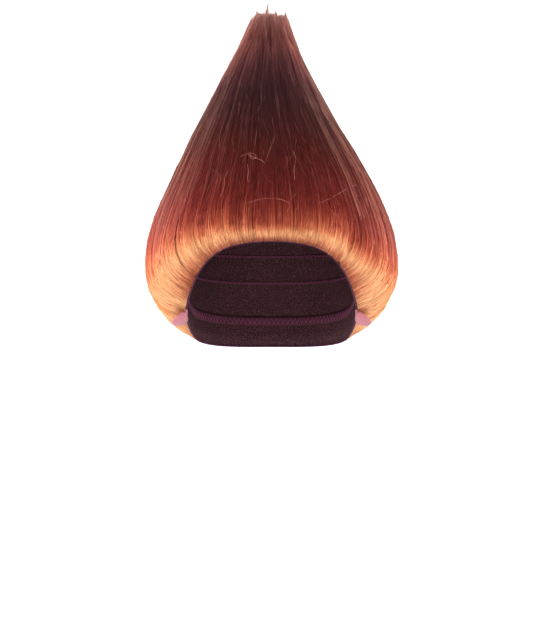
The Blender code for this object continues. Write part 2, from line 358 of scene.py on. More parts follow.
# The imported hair
# Under the fibres that show, the hair is packed so close that nothing is seen through it.
# It is one closed mass with fine grooves, a little inside the form, hollow over the cap, open for the head.
MASS_COLUMNS = 288
MASS_SINK = 0.0030
MASS_TOP_RISE = 0.92
MASS_TOP_SINK = 0.008
MASS_TOP_FROM = 0.78
MASS_TOP_OVER = 0.14
MASS_EDGE_RISE = 0.06
MASS_EDGE_SINK = 0.0022
GROOVE_DEPTH = 0.0004
MASS_SEAT = 0.0004
INNER_ROWS = 26
OUTER_ROWS = 72
HEAD_MIDDLE = Vector((0, 0, 0.3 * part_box("cap")[0].z))


def ring_middle(name):
    """The turn, radius and height of the middle of a closed tube, slice by slice."""
    coords = np.array([vertex.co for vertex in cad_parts[name].data.vertices])
    turns = np.arctan2(coords[:, 0], -coords[:, 1]) % (2 * math.pi)
    slices = np.round(turns / RIM_BIN).astype(int) % round(2 * math.pi / RIM_BIN)
    rows = []
    for part in np.unique(slices):
        own = coords[slices == part]
        rows.append((part * RIM_BIN, np.hypot(own[:, 0], own[:, 1]).mean(), own[:, 2].mean()))
    return np.array(rows)


def smooth_ring(ring, column, turns):
    """One column of a ring at any turns, on a smooth curve rather than straight between its slices."""
    reach = np.linspace(-0.5, 0.5, 9) * RIM_BIN
    return sum(ring_value(ring, column, turns + shift) for shift in reach) / len(reach)


def at_binding(turns, outs, ups):
    """Points beside the middle of the edge binding: so far outward and so far up from it."""
    radius = smooth_ring(binding_ring, 1, turns) + outs
    height = smooth_ring(binding_ring, 2, turns) + ups
    return np.stack([radius * np.sin(turns), -radius * np.cos(turns), height], axis=-1)


binding_ring = ring_middle("edge_binding")


def wrapped_grid(name, columns, rows, places):
    """A grid primitive wrapped round Z, with each row of points given, its seam and its poles welded."""
    bm = bmesh.new()
    bmesh.ops.create_grid(bm, x_segments=columns, y_segments=rows, size=0.5)
    for vert in bm.verts:
        column = round((vert.co.x + 0.5) * columns) % columns
        row = round((vert.co.y + 0.5) * rows)
        vert.co = places[row][column]
    bmesh.ops.remove_doubles(bm, verts=bm.verts, dist=1e-6)
    bmesh.ops.recalc_face_normals(bm, faces=bm.faces)
    mesh = bpy.data.meshes.new(name)
    bm.to_mesh(mesh)
    bm.free()
    mesh.shade_smooth()
    piece = bpy.data.objects.new(name, mesh)
    bpy.context.scene.collection.objects.link(piece)
    return piece


def cap_face(tree, turn, dip, outside):
    """A point of the cap on the ray at this turn and dip below straight up from the head's middle."""
    way = Vector((math.sin(dip) * math.sin(turn), -math.sin(dip) * math.cos(turn), math.cos(dip)))
    if outside:
        return tree.ray_cast(HEAD_MIDDLE + way, -way)[0], way
    return tree.ray_cast(HEAD_MIDDLE, way)[0], way


def dip_to(radius, height):
    return math.pi / 2 + math.atan2(HEAD_MIDDLE.z - height, radius)


cap_tree = surface_tree("cap")
cap_rim = lowest_ring("cap")
mass_turns = np.arange(MASS_COLUMNS) * 2 * math.pi / MASS_COLUMNS
inner_rows = []
for row in range(INNER_ROWS):
    ring = []
    for turn in mass_turns:
        rim_dip = dip_to(ring_value(cap_rim, 1, turn), ring_value(cap_rim, 2, turn)) - 0.03
        point, way = cap_face(cap_tree, turn, rim_dip * row / (INNER_ROWS - 1), True)
        ring.append(point + way * MASS_SEAT)
    inner_rows.append(ring)
outer_rows = []
for row in range(OUTER_ROWS):
    if row == 0:
        outer_rows.append(at_binding(mass_turns, 0.0002, 0.0002))
        continue
    rise = MASS_TOP_RISE * row / (OUTER_ROWS - 1)
    groove = 0.5 * np.sin(96 * mass_turns + 2 * np.sin(7 * mass_turns) + 3 * rise)
    groove += 0.5 * np.sin(61 * mass_turns + 3 * np.sin(5 * mass_turns) - 4 * rise)
    fade = min(1.0, rise / MASS_EDGE_RISE)
    lift = -MASS_SINK * fade + GROOVE_DEPTH * groove * fade - MASS_EDGE_SINK * (1 - fade)
    lift = lift - MASS_TOP_SINK * smooth_step((rise - MASS_TOP_FROM) / MASS_TOP_OVER)
    outer_rows.append(lean(on_form(mass_turns, np.full(MASS_COLUMNS, rise), lift)))
peak = outer_rows[-1].mean(axis=0) + (0, 0, 0.002)
mass_rows = inner_rows + outer_rows + [[peak] * MASS_COLUMNS]
hair_mass = wrapped_grid("hair_mass", MASS_COLUMNS, len(mass_rows) - 1, mass_rows)


def map_mass(mesh):
    """Gives the mass a map of the turn across and the dye's place up, with no face across the seam."""
    layer = mesh.uv_layers.new(name="OFBake")
    coords = np.array([vertex.co for vertex in mesh.vertices])
    loops = np.array([loop.vertex_index for loop in mesh.loops])
    turns = np.arctan2(coords[:, 0], -coords[:, 1]) % (2 * math.pi)
    radii = np.hypot(coords[:, 0], coords[:, 1])
    shown = read_table(form_radius, turns, np.zeros(len(turns))) - 0.004
    columns = np.round(turns / TURN).astype(int) % COLUMNS
    even = np.linspace(0, 1, PROFILE_ROWS)
    rises = np.array([np.interp(z, form_height[c], even) for z, c in zip(coords[:, 2], columns)])
    places = np.where((coords[:, 2] < 0) & (radii < shown), 0.0, dye_place(turns, rises))
    across = turns[loops] / (2 * math.pi)
    for face in mesh.polygons:
        own = slice(face.loop_start, face.loop_start + face.loop_total)
        if across[own].max() - across[own].min() > 0.5:
            across[own] = np.where(across[own] < 0.5, across[own] + 1, across[own])
    layer.data.foreach_set("uv", np.stack([across, places[loops]], axis=-1).ravel())


map_mass(hair_mass.data)


def packed_material():
    """The same fibre seen as a mass: the dye broken up by streaks that run with the hair."""
    made, tree, shader = new_material("packed_fibre", 0.55, Specular_IOR_Level=0.1)
    uv = add_node(tree, "ShaderNodeUVMap", uv_map="OFBake")
    stretch = add_node(tree, "ShaderNodeMapping", Scale=(420, 5, 1))
    tree.links.new(uv.outputs["UV"], stretch.inputs["Vector"])
    streaks = add_node(tree, "ShaderNodeTexNoise", Scale=1.0, Detail=3.0, Roughness=0.6)
    tree.links.new(stretch.outputs["Vector"], streaks.inputs["Vector"])
    axes = add_node(tree, "ShaderNodeSeparateXYZ")
    tree.links.new(uv.outputs["UV"], axes.inputs["Vector"])
    shift = add_node(tree, "ShaderNodeMapRange", To_Min=-0.05, To_Max=0.05)
    tree.links.new(streaks.outputs["Fac"], shift.inputs["Value"])
    place = add_node(tree, "ShaderNodeMath", operation="ADD")
    tree.links.new(axes.outputs["Y"], place.inputs[0])
    tree.links.new(shift.outputs["Result"], place.inputs[1])
    colour = dye_colour(tree, place.outputs["Value"])
    tone = add_node(tree, "ShaderNodeMapRange", To_Min=0.55, To_Max=0.95)
    tree.links.new(streaks.outputs["Fac"], tone.inputs["Value"])
    scale = add_node(tree, "ShaderNodeVectorMath", operation="SCALE")
    tree.links.new(colour, scale.inputs[0])
    tree.links.new(tone.outputs["Result"], scale.inputs["Scale"])
    tree.links.new(scale.outputs["Vector"], shader.inputs["Base Color"])
    bump(tree, shader, streaks.outputs["Fac"], 0.6, 0.001)
    return made


hair_mass.data.materials.append(packed_material())
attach(hair_mass, "root")
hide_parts("swept_hair", "crown_hair")


# The swept fibres
# Locks of straight fibre start at the cap's edge or come out from rows behind it, combed up to the tip.
# Each fibre is a fine three-sided strand. They lie in quarters of the wig, so no one mesh grows too large.
RING_SHARES = (0, 0.03, 0.068, 0.11, 0.16, 0.215, 0.275, 0.345, 0.44, 0.62, 0.85, 1)
FIBRE_RINGS = len(RING_SHARES)
LOCKS_PER_QUARTER = 104
FIBRES_PER_LOCK = 25
TONE_WIDTH = 0.004
ROOT_OUT = 0.0008
ROOT_SPREAD = 0.0007
# Painted sheen on the flanks: the fibres' tone rises with the turn, so they are drawn lighter and paler at the
# sides.
SHINE = (
    # turn from the forehead in degrees, added tone of painted sheen
    (0, -0.13),
    (30, -0.06),
    (45, 0.07),
    (60, 0.21),
    (75, 0.27),
    (90, 0.27),
    (105, 0.13),
    (135, 0.05),
    (180, -0.02),
)


def fibre_pattern(rings):
    """One straight three-sided fibre: the ring and corner of each of its points, and its faces."""
    bm = bmesh.new()
    bmesh.ops.create_cone(bm, cap_ends=True, segments=3, radius1=1, radius2=1, depth=1)
    upright = [edge for edge in bm.edges if abs(edge.verts[0].co.z - edge.verts[1].co.z) > 0.5]
    bmesh.ops.subdivide_edges(bm, edges=upright, cuts=rings - 2, use_grid_fill=True)
    bm.verts.index_update()
    ring = np.array([round((vert.co.z + 0.5) * (rings - 1)) for vert in bm.verts])
    corner = np.array([math.atan2(vert.co.y, vert.co.x) for vert in bm.verts])
    faces = [[vert.index for vert in face.verts] for face in bm.faces]
    bm.free()
    return ring, corner, faces


def spin_fibres(name, paths, widths, tones_and_sheen, places, material):
    """One mesh of many fibres, from the path, width, tone (which carries painted sheen) and dye place of each
    fibre at each ring.
    """
    count, rings = widths.shape
    ring, corner, faces = fibre_pattern(rings)
    along = np.gradient(paths, axis=1)
    along /= np.linalg.norm(along, axis=2, keepdims=True)
    outward = paths * (1, 1, 0) + (0, 0, 1e-4)
    side = np.cross(along, outward)
    side /= np.linalg.norm(side, axis=2, keepdims=True)
    out = np.cross(side, along)
    reach = widths[:, ring, None] / 2
    around = np.cos(corner)[:, None] * side[:, ring] + np.sin(corner)[:, None] * out[:, ring]
    points = paths[:, ring] + reach * around

    starts = (np.arange(count) * len(ring))[:, None]
    sizes = np.tile([len(face) for face in faces], count)
    loops = (starts + np.concatenate(faces)).ravel()
    mesh = bpy.data.meshes.new(name)
    mesh.vertices.add(points.shape[0] * points.shape[1])
    mesh.vertices.foreach_set("co", points.astype(np.float32).ravel())
    mesh.loops.add(len(loops))
    mesh.loops.foreach_set("vertex_index", loops)
    mesh.polygons.add(len(sizes))
    mesh.polygons.foreach_set("loop_start", np.append(0, np.cumsum(sizes)[:-1]))
    layer = mesh.uv_layers.new(name="OFBake")
    across = tones_and_sheen[:, ring] + TONE_WIDTH * (corner / math.pi)
    maps = np.stack([np.clip(across, 0, 1), np.clip(places[:, ring], 0, 1)], axis=-1).reshape(-1, 2)
    layer.data.foreach_set("uv", maps[loops].ravel())
    mesh.update(calc_edges=True)
    mesh.validate()
    mesh.shade_smooth()
    mesh.materials.append(material)
    piece = bpy.data.objects.new(name, mesh)
    bpy.context.scene.collection.objects.link(piece)
    return piece


# The tip's tufts that the locks gather into: turn in degrees, distance out and height above the solid.
TUFTS = (
    (-80, 0.0105, -0.0010),
    (-45, 0.0030, 0.0000),
    (62, 0.0048, -0.0010),
    (84, 0.0152, -0.0024),
    (168, 0.0040, -0.0016),
    (-168, 0.0120, -0.0036),
    (-128, 0.0135, -0.0044),
    (-102, 0.0156, -0.0052),
    (-58, 0.0140, -0.0044),
    (-24, 0.0125, -0.0036),
    (14, 0.0120, -0.0048),
    (40, 0.0130, -0.0080),
    (108, 0.0152, -0.0048),
    (140, 0.0125, -0.0040),
)
TUFT_FALL = 0.0125
TUFT_SPREAD = 0.15
tuft_turns = np.radians([row[0] for row in TUFTS])
tuft_points = np.stack(
    [
        np.sin(tuft_turns) * [row[1] for row in TUFTS],
        -np.cos(tuft_turns) * [row[1] for row in TUFTS],
        [tip_height + row[2] for row in TUFTS],
    ],
    axis=-1,
)


def tuft_ends(rng, tufts):
    """Where fibres end in their tufts: few reach a tuft's point, and the lower ones spread wider."""
    falls = TUFT_FALL * rng.random(tufts.shape) ** 0.45
    spread = 0.0003 + TUFT_SPREAD * falls
    drift = rng.normal(0, 1, (*tufts.shape, 2)).clip(-1.8, 1.8) * spread[..., None]
    return tuft_points[tufts] + np.concatenate([drift, -falls[..., None]], axis=-1)


def comb_locks(rng, first, last, locks, fibres):
    """The fibres of some locks between two turns, as spin_fibres takes them."""
    share = np.array(RING_SHARES)[None, None]
    one, each = (locks, 1, 1), (locks, fibres, 1)
    from_rim, to_tip = rng.random(one) < 0.66, rng.random(one) < 0.62
    start = np.where(from_rim, 0, rng.uniform(0.015, 0.26, one))
    end = np.where(to_tip, 1.0, rng.uniform(0.62, 0.97, one)) - np.abs(rng.normal(0, 0.012, each))
    rise = start + (end - start) * share

    spaced = (np.arange(locks) + rng.random(locks)).reshape(one) / locks
    middle = first + (last - first) * spaced
    half = np.radians(rng.uniform(1.1, 2.9, one))
    across = rng.uniform(-1, 1, each)
    gather = 1 - 0.35 * smooth_step(rise) - np.where(to_tip, 0, 0.45) * smooth_step((share - 0.6) / 0.4)
    drift = np.radians(rng.normal(0, 2.2, one)) * (rise - start)
    sway = np.radians(rng.normal(0, 0.8, one)) * np.sin(4.0 * rise + rng.uniform(0, 6.3, one))
    stray = np.radians(rng.normal(0, 0.9, each)) * (rise - start)
    wander = np.radians(rng.normal(0, 0.35, each)) * np.sin(9 * rise + rng.uniform(0, 6.3, each))
    turns = middle + half * across * gather + drift + sway + stray + wander

    girth = read_table(form_radius, turns, rise) / belly_radius
    depth = rng.uniform(-0.0013, 0.0006, one) + 0.0006 * (1 - across**2) - 0.0007 * rng.random(each)
    root = np.where(from_rim, -0.0022 * rng.random(each), -0.0042)
    settle = smooth_step(share / np.where(from_rim, 0.10, 0.16))
    end_sink = np.where(to_tip, 0, rng.normal(-0.0006, 0.0007, each)) * smooth_step((share - 0.75) / 0.25)
    lifts = root * (1 - settle) + (depth * settle + end_sink) * (0.3 + 0.7 * girth)
    points = on_form(turns, rise, lifts)
    outs = ROOT_OUT + ROOT_SPREAD * rng.random((locks, fibres))
    ups = ROOT_SPREAD * rng.uniform(-0.6, 1.2, (locks, fibres))
    sewn = at_binding(turns[..., 0], outs, ups)
    points[:, :, 0] = np.where(from_rim, sewn, points[:, :, 0])

    away = np.abs(np.angle(np.exp(1j * (middle[..., 0] - tuft_turns[None]))))
    nearest = np.argmin(away + 0.9 * rng.random((locks, len(TUFTS))), axis=1)
    goal = tuft_ends(rng, np.repeat(nearest[:, None], fibres, 1))
    pull = np.where(to_tip, smooth_step((rise - 0.90) / 0.10), 0)[..., None]
    points = lean(points * (1 - pull) + goal[:, :, None] * pull)

    taper = 1 - 0.72 * smooth_step((share - 0.8) / 0.2)
    widths = rng.uniform(0.00040, 0.00074, each) * (0.38 + 0.62 * girth) * taper
    places = dye_place(turns, rise) + rng.normal(0, 0.014, one) + rng.normal(0, 0.022, each)
    facing = np.abs(np.degrees(np.angle(np.exp(1j * turns))))
    shine = np.interp(facing, [row[0] for row in SHINE], [row[1] for row in SHINE])
    # The painted sheen of the flanks is added to the tone above the copper.
    tones_and_sheen = 0.5 + shine * smooth_step((places - 0.26) / 0.1)
    # Random tone by lock, fibre and ring; its high values show as short painted glints.
    tones_and_sheen = tones_and_sheen + rng.normal(0, 0.06, one) + rng.normal(0, 0.12, each) + rng.normal(0, 0.07, turns.shape)
    tones_and_sheen = np.clip(tones_and_sheen, 0.02, 0.98)
    total = locks * fibres
    return (
        points.reshape(total, FIBRE_RINGS, 3),
        widths.reshape(total, FIBRE_RINGS),
        tones_and_sheen.reshape(total, FIBRE_RINGS),
        places.reshape(total, FIBRE_RINGS),
    )


QUARTERS = {"front": 0, "left": 90, "back": 180, "right": 270}
for number, (side, degrees) in enumerate(QUARTERS.items()):
    rng = np.random.default_rng(20 + number)
    first, last = math.radians(degrees - 45), math.radians(degrees + 45)
    combed = comb_locks(rng, first, last, LOCKS_PER_QUARTER, FIBRES_PER_LOCK)
    quarter = spin_fibres(f"swept_fibres_{side}", *combed, dyed_fibre_painted_sheen)
    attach(quarter, "root")


# The crown's fibres
# The plume sewn to the crown fills the tip from inside, and its ends stand up between the swept locks' ends.
CROWN_FIBRES = 1700
CROWN_RINGS = 7
CROWN_START = 0.60

rng = np.random.default_rng(31)
crown_share = np.linspace(0, 1, CROWN_RINGS)[None]
crown_turn = rng.uniform(0, 2 * math.pi, (CROWN_FIBRES, 1))
crown_out = np.sqrt(rng.random((CROWN_FIBRES, 1)))
rise = CROWN_START + rng.uniform(0, 0.2, (CROWN_FIBRES, 1)) + crown_share * 0.4
rise = np.minimum(rise, 1.0)
hull = on_form(np.repeat(crown_turn, CROWN_RINGS, 1), rise, np.full(rise.shape, -0.001))
hull[..., :2] *= crown_out[..., None]
goal = tuft_ends(rng, rng.integers(0, len(TUFTS), CROWN_FIBRES))
pull = smooth_step((crown_share - 0.35) / 0.65)[..., None]
crown_paths = lean(hull * (1 - pull) + goal[:, None] * pull)
crown_widths = rng.uniform(0.00038, 0.00062, (CROWN_FIBRES, 1)) * (1 - 0.6 * crown_share**2)
crown_places = 0.66 + 0.34 * (crown_paths[..., 2] / tip_height).clip(0, 1) ** 2
crown_places = crown_places + rng.normal(0, 0.02, (CROWN_FIBRES, 1))
# Random tones; the high ones show painted glints.
crown_tones_and_glints = np.clip(rng.normal(0.5, 0.16, crown_places.shape), 0.02, 0.98)
crown_fibres = spin_fibres("crown_fibres", crown_paths, crown_widths, crown_tones_and_glints, crown_places, dyed_fibre_painted_sheen)
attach(crown_fibres, "root")


# The tip's wisps
# The longest hairs end in wisps that stand above the rest, wide at the foot and a hair or two at the point.
WISPS = (
    # across, depth, height above the solid and half width in metres, then how many hairs
    (-0.0172, -0.0020, -0.0048, 0.0022, 60),
    (-0.0129, -0.0060, 0.0016, 0.0025, 90),
    (-0.0084, -0.0050, -0.0010, 0.0014, 16),
    (-0.0036, -0.0070, 0.0078, 0.0022, 80),
    (0.0040, -0.0060, 0.0018, 0.0026, 80),
    (0.0094, -0.0050, -0.0034, 0.0028, 34),
    (0.0128, -0.0030, 0.0002, 0.0022, 40),
    (0.0156, 0.0010, -0.0064, 0.0020, 50),
    (-0.0122, 0.0090, -0.0010, 0.0026, 70),
    (-0.0038, 0.0110, 0.0020, 0.0026, 70),
    (0.0048, 0.0100, -0.0004, 0.0026, 70),
    (0.0120, 0.0050, -0.0030, 0.0024, 50),
    (-0.0010, 0.0020, -0.0075, 0.0085, 160),
)
WISP_RINGS = 5
WISP_FOOT = 0.024
WISP_FALL = 0.0115
WISP_JITTER = 0.0030
WISP_WIDTH = 0.00044
WISP_THINNING = 0.00018

rng = np.random.default_rng(59)
wisp_share = np.linspace(0, 1, WISP_RINGS)[None]
wisp_paths = []
for across, depth, above, half, hairs in WISPS:
    off = rng.normal(0, 0.6, (hairs, 2, 1)).clip(-1, 1)
    edge = np.hypot(off[:, 0], off[:, 1])
    top = tip_height + above - WISP_FALL * edge - WISP_JITTER * rng.random((hairs, 1))
    foot = tip_height - WISP_FOOT
    fan = half * off * (1 - 0.3 * wisp_share)[:, None]
    wisp_paths.append(
        np.stack([across + fan[:, 0], depth + fan[:, 1], foot + (top - foot) * wisp_share], axis=-1)
    )
wisp_paths = np.concatenate(wisp_paths)
wisp_widths = np.repeat(WISP_WIDTH - WISP_THINNING * wisp_share**2, len(wisp_paths), 0)
wisp_rises = (wisp_paths[..., 2] - tip_height + WISP_FOOT) / WISP_FOOT
# The wisps sit at the pale end of the dye, which holds painted light, and their raised tones add painted sheen.
wisp_places = 0.915 + 0.07 * wisp_rises + rng.normal(0, 0.015, (len(wisp_paths), 1))
wisp_tones_and_sheen = rng.normal(0.6, 0.12, wisp_widths.shape)
tip_wisps = spin_fibres("tip_wisps", wisp_paths, wisp_widths, wisp_tones_and_sheen, wisp_places, dyed_fibre_painted_sheen)
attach(tip_wisps, "root")


# The loose strands
# Thin single fibres that the comb missed. They stand off the form here and there, all round.
LOOSE_STRANDS = 420
LOOSE_RINGS = 10

rng = np.random.default_rng(47)
loose_share = np.linspace(0, 1, LOOSE_RINGS)[None]
one = (LOOSE_STRANDS, 1)
start = rng.uniform(0.02, 0.80, one)
rise = start + rng.uniform(0.05, 0.20, one) * loose_share
turns = rng.uniform(0, 2 * math.pi, one) + np.radians(rng.normal(0, 5.0, one)) * loose_share
turns = turns + np.radians(rng.normal(0, 1.2, one)) * np.sin(5 * loose_share + rng.uniform(0, 6.3, one))
off = rng.uniform(0.0004, 0.0030, one) * np.sin(math.pi * loose_share ** rng.uniform(0.6, 1.6, one))
loose_lifts = -0.0004 + off + rng.uniform(0, 0.0012, one) * loose_share
loose_paths = lean(on_form(turns, rise, loose_lifts))
loose_widths = rng.uniform(0.00018, 0.00034, one) * (1 - 0.5 * loose_share)
loose_places = dye_place(turns, rise) - rng.uniform(0, 0.03, one)
# High tones: the material draws these strands lighter, with painted sheen.
loose_sheen_tones = rng.uniform(0.60, 0.98, (LOOSE_STRANDS, LOOSE_RINGS))
loose_parts = (loose_paths, loose_widths, loose_sheen_tones, loose_places)
loose_strands = spin_fibres("loose_strands", *loose_parts, dyed_fibre_painted_sheen)
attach(loose_strands, "root")


# The bright strands at the sides, a painted rim light
# A few bright orange strands run up each side and edge the wig when it is seen from the front, painted as the
# rim light along its outline.
EDGE_STRANDS = 30
EDGE_RINGS = 14

rng = np.random.default_rng(61)
one = (EDGE_STRANDS, 1)
edge_share = np.linspace(0, 1, EDGE_RINGS)[None]
side_sign = np.where(np.arange(EDGE_STRANDS) % 2, 1, -1)[:, None]
turns = side_sign * np.radians(rng.normal(93, 2.2, one) + rng.normal(0, 1.5, one) * edge_share)
rise = rng.uniform(0.02, 0.10, one) + rng.uniform(0.14, 0.32, one) * edge_share
edge_lifts = 0.0002 + rng.uniform(0.0002, 0.0010, one) * np.sin(math.pi * edge_share)
edge_paths = lean(on_form(turns, rise, edge_lifts))
edge_widths = rng.uniform(0.0003, 0.00045, one) * (1 - 0.6 * edge_share**2)
# Flat bright orange: a painted rim light.
orange, tree, shader = new_material("rim_light_fibre", 0.40, Specular_IOR_Level=0.16)
shader.inputs["Base Color"].default_value = (*linear("EC9450"), 1)
edge_parts = (edge_paths, edge_widths, np.full(edge_widths.shape, 0.5), np.full(edge_widths.shape, 0.2))
rim_light_strands = spin_fibres("rim_light_strands", *edge_parts, orange)
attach(rim_light_strands, "root")


# The stray hairs
# A few long hairs have come out of place over the front: a small tangle, a line across and two short curves.
STRAYS = (
    # width in metres, then points across and up in millimetres
    (0.00024, ((-27, 15), (-22, 18), (-17, 19), (-13, 16), (-13, 13), (-17, 12), (-20, 15), (-18, 18))),
    (0.00022, ((-21, 17), (-17, 15), (-12, 13), (-8, 11), (-6, 9))),
    (0.00017, ((41, -26), (50, -22), (60, -16), (68, -11), (74, -8))),
    (0.00017, ((-20, -26), (-11, -23), (-2, -22), (8, -23), (16, -27))),
    (0.00022, ((-21, 8), (-20, 2), (-21, -4), (-20, -8))),
    (0.00018, ((19, 20), (21, 12), (19, 4), (20, -6))),
    (0.00020, ((44, 62), (46, 58), (48, 56), (50, 51))),
    (0.00018, ((-44, -20), (-41, -12), (-41, -4), (-38, 3))),
)
STRAY_RINGS = 14
STRAY_LIFT = 0.0016

stray_paths, stray_widths = [], []
for width, marks in STRAYS:
    marks = np.array(marks) / 1000
    reach = np.linspace(0, 1, len(marks))
    even = np.linspace(0, 1, STRAY_RINGS)
    path = []
    for x, z in zip(np.interp(even, reach, marks[:, 0]), np.interp(even, reach, marks[:, 1])):
        hit = hair_tree.ray_cast(Vector((x, -1, z)), Vector((0, 1, 0)))[0]
        path.append((x, hit.y - STRAY_LIFT, z))
    stray_paths.append(path)
    stray_widths.append([width] * STRAY_RINGS)
stray_paths = np.array(stray_paths)
for _ in range(2):
    stray_paths[:, 1:-1] = (stray_paths[:, :-2] + 2 * stray_paths[:, 1:-1] + stray_paths[:, 2:]) / 4
# The highest tone: the strays are drawn with the full painted sheen.
stray_sheen_tones = np.full((len(STRAYS), STRAY_RINGS), 0.97)
stray_places = np.full((len(STRAYS), STRAY_RINGS), 0.94)
stray_parts = (stray_paths, np.array(stray_widths), stray_sheen_tones, stray_places)
stray_hairs = spin_fibres("stray_hairs", *stray_parts, dyed_fibre_painted_sheen)
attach(stray_hairs, "root")


# The cap
# A close knitted net on which the rows of hair are sewn. It shows dark inside the open hollow.
# Its edge runs into the middle of the binding, which is folded over it.
CAP_COLUMNS = 180
CAP_ROWS = 44
CAP_WALL = 0.0013


cap_turns = np.arange(CAP_COLUMNS) * 2 * math.pi / CAP_COLUMNS
cap_rows = []
for row in range(CAP_ROWS + 1):
    ring = []
    for turn in cap_turns:
        edge_radius, edge_z = ring_value(cap_rim, 1, turn), ring_value(cap_rim, 2, turn)
        if row == CAP_ROWS:
            edge_radius, edge_z = smooth_ring(binding_ring, 1, turn), smooth_ring(binding_ring, 2, turn)
            ring.append((edge_radius * math.sin(turn), -edge_radius * math.cos(turn), edge_z))
        else:
            ring.append(cap_face(cap_tree, turn, dip_to(edge_radius, edge_z) * row / CAP_ROWS, False)[0])
    cap_rows.append(ring)
cap_net = wrapped_grid("cap_net", CAP_COLUMNS, CAP_ROWS, cap_rows)
wall = cap_net.modifiers.new("wall", "SOLIDIFY")
wall.thickness = CAP_WALL
wall.offset = 1


def net_material():
    """Dark knitted net: a diamond mesh with faint darker and redder patches."""
    made, tree, shader = new_material("knitted_net", 0.85, Specular_IOR_Level=0.15)
    place = add_node(tree, "ShaderNodeTexCoord").outputs["Object"]
    holes = add_node(tree, "ShaderNodeTexVoronoi", feature="DISTANCE_TO_EDGE", Scale=430.0, Randomness=0.8)
    tree.links.new(place, holes.inputs["Vector"])
    cord = add_node(tree, "ShaderNodeMapRange", From_Min=0.02, From_Max=0.16, To_Min=1.0, To_Max=0.0)
    tree.links.new(holes.outputs["Distance"], cord.inputs["Value"])
    patches = add_node(tree, "ShaderNodeTexNoise", Scale=38.0, Detail=4.0)
    tree.links.new(place, patches.inputs["Vector"])
    ground = add_node(tree, "ShaderNodeMix", data_type="RGBA")
    tree.links.new(patches.outputs["Fac"], ground.inputs["Factor"])
    ground.inputs["A"].default_value = (0.012, 0.005, 0.007, 1)
    ground.inputs["B"].default_value = (0.042, 0.013, 0.013, 1)
    weave = add_node(tree, "ShaderNodeMix", data_type="RGBA")
    tree.links.new(cord.outputs["Result"], weave.inputs["Factor"])
    tree.links.new(ground.outputs["Result"], weave.inputs["A"])
    weave.inputs["B"].default_value = (0.075, 0.027, 0.036, 1)
    tree.links.new(weave.outputs["Result"], shader.inputs["Base Color"])
    bump(tree, shader, cord.outputs["Result"], 0.5, 0.0004)
    return made


cap_net.data.materials.append(net_material())
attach(cap_net, "root")
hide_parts("cap")


# The sewn tapes
# The hair is sewn on woven tapes that run round the cap in rows. They show as bands inside it.
# A wider band lies along the edge, behind the binding.
TAPE_COLUMNS = 160
TAPE_SIDES = 6
TAPES = (
    # share of the way from the crown to the edge, width in metres
    (0.10, 0.0030),
    (0.19, 0.0030),
    (0.28, 0.0030),
    (0.37, 0.0030),
    (0.46, 0.0030),
    (0.55, 0.0030),
    (0.64, 0.0030),
    (0.73, 0.0030),
    (0.82, 0.0030),
    (0.935, 0.0085),
)
TAPE_DEPTH = 0.0006

tape_turns = np.arange(TAPE_COLUMNS) * 2 * math.pi / TAPE_COLUMNS
tape_edge = np.array(
    [dip_to(smooth_ring(cap_rim, 1, turn), smooth_ring(cap_rim, 2, turn)) for turn in tape_turns]
)


def tape_point(turn, dip, across, inward):
    """A point beside a tape's middle line: across it along the cap and inward off the cap's face."""
    middle, way = cap_face(cap_tree, turn, dip, False)
    reach = (middle - HEAD_MIDDLE).length
    return cap_face(cap_tree, turn, dip + across / reach, False)[0] - way * inward


def sewn_tape(share, width):
    """One closed flat band round the inside of the cap, as rows of points."""
    rows = []
    for row in range(TAPE_SIDES + 1):
        round_turn = 2 * math.pi * row / TAPE_SIDES
        across = width / 2 * math.cos(round_turn)
        inward = TAPE_DEPTH * (0.5 + 0.5 * math.sin(round_turn))
        rows.append([tape_point(t, dip * share, across, inward) for t, dip in zip(tape_turns, tape_edge)])
    return rows


bm = bmesh.new()
for number, (share, width) in enumerate(TAPES):
    tape = wrapped_grid(f"tape_{number}", TAPE_COLUMNS, TAPE_SIDES, sewn_tape(share, width))
    bm.from_mesh(tape.data)
    bpy.data.objects.remove(tape)
tape_mesh = bpy.data.meshes.new("sewn_tapes")
bm.to_mesh(tape_mesh)
bm.free()
tape_mesh.shade_smooth()
tapes = bpy.data.objects.new("sewn_tapes", tape_mesh)
bpy.context.scene.collection.objects.link(tapes)


def tape_material():
    """Dark aubergine woven tape."""
    made, tree, shader = new_material("woven_tape", 0.8, Specular_IOR_Level=0.2)
    place = add_node(tree, "ShaderNodeTexCoord").outputs["Object"]
    weave = add_node(tree, "ShaderNodeTexNoise", Scale=900.0, Detail=3.0)
    tree.links.new(place, weave.inputs["Vector"])
    colour = add_node(tree, "ShaderNodeMix", data_type="RGBA")
    tree.links.new(weave.outputs["Fac"], colour.inputs["Factor"])
    colour.inputs["A"].default_value = (*linear("2A1018"), 1)
    colour.inputs["B"].default_value = (*linear("5C2B3A"), 1)
    tree.links.new(colour.outputs["Result"], shader.inputs["Base Color"])
    bump(tree, shader, weave.outputs["Fac"], 0.6, 0.0003)
    return made


tape_mesh.materials.append(tape_material())
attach(tapes, "root")


# The tapes' stitches
# A zigzag of purple thread holds each tape to the net.
STITCHES = 260
THREAD = 0.0004

